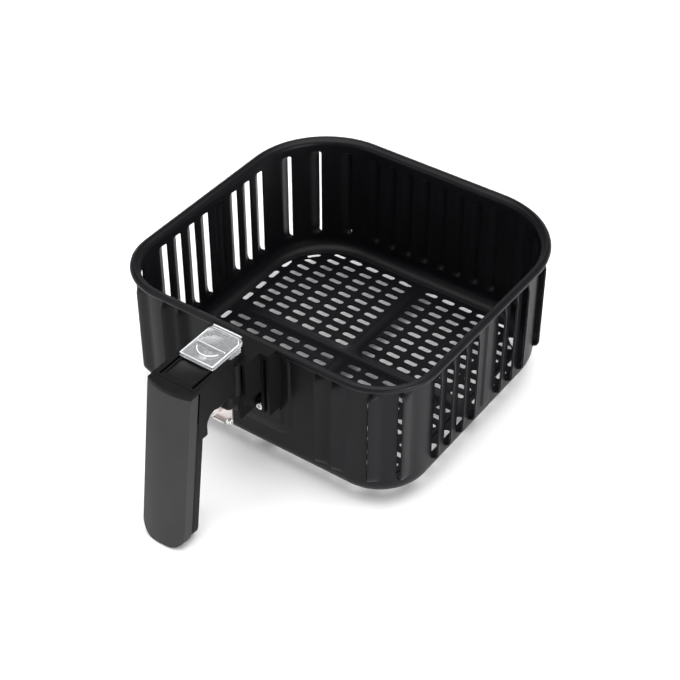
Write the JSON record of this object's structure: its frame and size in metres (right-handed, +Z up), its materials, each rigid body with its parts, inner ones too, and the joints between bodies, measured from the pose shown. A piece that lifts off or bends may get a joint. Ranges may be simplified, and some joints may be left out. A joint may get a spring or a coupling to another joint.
{
  "type": "air fryer basket",
  "caption": "Square black air fryer basket with slotted floor and louvred walls, drop handle and a clear sliding guard over its release button.",
  "frame": {"origin": "middle of the basket's underside", "axes": "+X to the right, +Y to the back away from the handle, -Y to the handle, +Z up"},
  "size_m": [0.2286, 0.3132, 0.1213],
  "materials": {
    "nonstick_steel": "satin black non-stick coating",
    "black_moulding": "fine matte black",
    "soft_grip": "soft dark grey, faintly brushed",
    "button_black": "satin black",
    "clear_plastic": "clear moulded plastic",
    "bright_steel": "bright plated steel",
    "dark_steel": "dark zinc",
    "plate_steel": "bare pressed steel"
  },
  "bodies": {
    "basket": {"basket": "nonstick_steel", "handle_bracket": "black_moulding", "bracket_screws": "bright_steel", "bracket_nuts": "bright_steel", "handle_arm": "black_moulding", "grip_cover": "soft_grip", "grip_trim": "black_moulding", "top_cap": "black_moulding", "grip_screws": "dark_steel", "handle_screws": "dark_steel", "guard_detent": "bright_steel", "latch_pin": "bright_steel", "latch_spring": "bright_steel", "button_spring": "bright_steel"},
    "guard": {"button_guard": "clear_plastic"},
    "button": {"release_button": "button_black"},
    "latch": {"latch_lever": "plate_steel", "latch_plate": "plate_steel", "latch_rivets": "bright_steel"}
  },
  "joints": [
    {"name": "guard_slide", "type": "slide", "parent": "basket", "child": "guard", "axis": [0, -1, 0], "range_m": [0, 0.0154]},
    {"name": "button_press", "type": "slide", "parent": "basket", "child": "button", "axis": [0, 0, -1], "range_m": [0, 0.0022], "stiffness_N_per_m": 600, "deforming": ["button_spring"]},
    {"name": "latch_turn", "type": "hinge", "parent": "basket", "child": "latch", "pos_m": [0, -0.146, 0.087], "axis": [1, 0, 0], "range_deg": [0, 7]}
  ],
  "couplings": [
    {"joint": "latch_turn", "follows": "button_press", "rad_per_m": 52.632}
  ]
}
